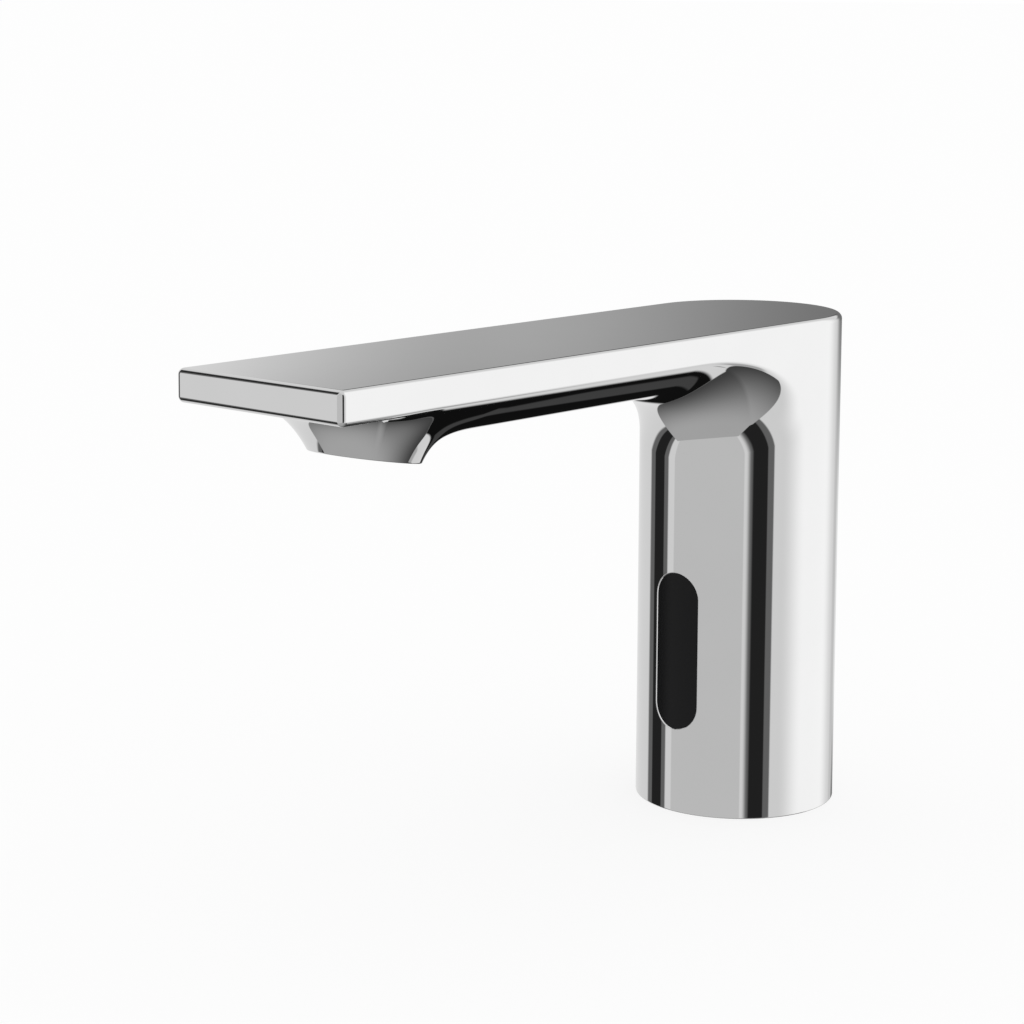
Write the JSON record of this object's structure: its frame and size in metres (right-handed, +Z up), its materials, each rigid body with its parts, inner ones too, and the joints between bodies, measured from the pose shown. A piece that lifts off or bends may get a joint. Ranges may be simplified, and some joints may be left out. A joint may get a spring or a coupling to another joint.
{
  "type": "sensor tap",
  "caption": "Touch-free basin tap: an upright round chromed body with a long flat spout, a sensor window in its front, and a latching solenoid valve and battery inside.",
  "frame": {"origin": "on the deck, on the axis of the upright body, at the middle of its two stud holes and of its inlet", "axes": "+Z up along the upright body, -Y along the spout towards the user, +X to the user's right when facing the tap"},
  "size_m": [0.05, 0.1895, 0.1233],
  "materials": {
    "chrome_plate": "bright chrome plating on brass",
    "window_black": "polished black plastic that infrared light passes",
    "seal_rubber": "matte moulded rubber",
    "dark_plastic": "moulded plastic, fine grain",
    "circuit_board": "green solder mask",
    "lens_plastic": "clear dark resin",
    "brass": "turned brass",
    "stainless": "turned and drawn stainless steel",
    "core_iron": "magnetic stainless steel, turned",
    "bracket_steel": "zinc-plated steel sheet",
    "magnet_ferrite": "sintered ferrite, ground",
    "white_plastic": "moulded plastic",
    "grey_plastic": "glass-filled plastic",
    "orange_plastic": "moulded plastic",
    "ivory_plastic": "moulded plastic",
    "copper_wire": "enamelled copper wire",
    "battery_sleeve": "shrink sleeve, plain",
    "lead_red": "soft insulation",
    "former_plastic": "moulded plastic",
    "regulator_green": "moulded plastic"
  },
  "bodies": {
    "tap": {"spout_body": "chrome_plate", "sensor_window": "window_black", "window_gasket": "seal_rubber", "sensor_housing": "dark_plastic", "sensor_board": "circuit_board", "ir_emitter": "lens_plastic", "ir_receiver": "lens_plastic", "base_plate": "brass", "base_gasket": "seal_rubber", "set_screw": "stainless", "inlet_connector": "brass", "inlet_o_ring": "seal_rubber", "inlet_strainer": "stainless", "check_valve_housing": "white_plastic", "check_valve_spring": "stainless", "valve_body": "grey_plastic", "diaphragm": "seal_rubber", "valve_bonnet": "grey_plastic", "bonnet_screws": "stainless", "foot_screws": "stainless", "core_tube": "stainless", "plunger_spring": "stainless", "fixed_core": "core_iron", "coil_bobbin": "white_plastic", "coil_winding": "copper_wire", "coil_bracket": "bracket_steel", "latch_magnet": "magnet_ferrite", "core_clip": "stainless", "coil_connector": "white_plastic", "carrier": "dark_plastic", "battery_box": "white_plastic", "battery": "battery_sleeve", "battery_contacts": "stainless", "battery_lid": "dark_plastic", "battery_lead": "lead_red", "riser_tube": "white_plastic", "riser_o_rings": "seal_rubber", "aerator_housing": "chrome_plate", "jet_former": "former_plastic", "aerator_screen": "stainless", "flow_regulator": "regulator_green", "aerator_washer": "seal_rubber"},
    "plunger": {"plunger": "core_iron", "plunger_seal": "seal_rubber"},
    "valve_disc": {"diaphragm_disc": "ivory_plastic"},
    "check_poppet": {"check_valve_poppet": "orange_plastic"}
  },
  "joints": [
    {"name": "plunger_slide", "type": "slide", "parent": "tap", "child": "plunger", "axis": [0, 0, 1], "range_m": [0, 0.0015], "stiffness_N_per_m": 300, "springref_m": -0.005, "deforming": ["plunger_spring"]},
    {"name": "disc_slide", "type": "slide", "parent": "tap", "child": "valve_disc", "axis": [0, 0, 1], "range_m": [0, 0.0012], "deforming": ["diaphragm"]},
    {"name": "poppet_slide", "type": "slide", "parent": "tap", "child": "check_poppet", "axis": [0, 0, 1], "range_m": [0, 0.002], "stiffness_N_per_m": 50, "springref_m": -0.004, "deforming": ["check_valve_spring"]}
  ],
  "couplings": [
    {"joint": "disc_slide", "follows": "plunger_slide", "ratio": 0.8}
  ]
}
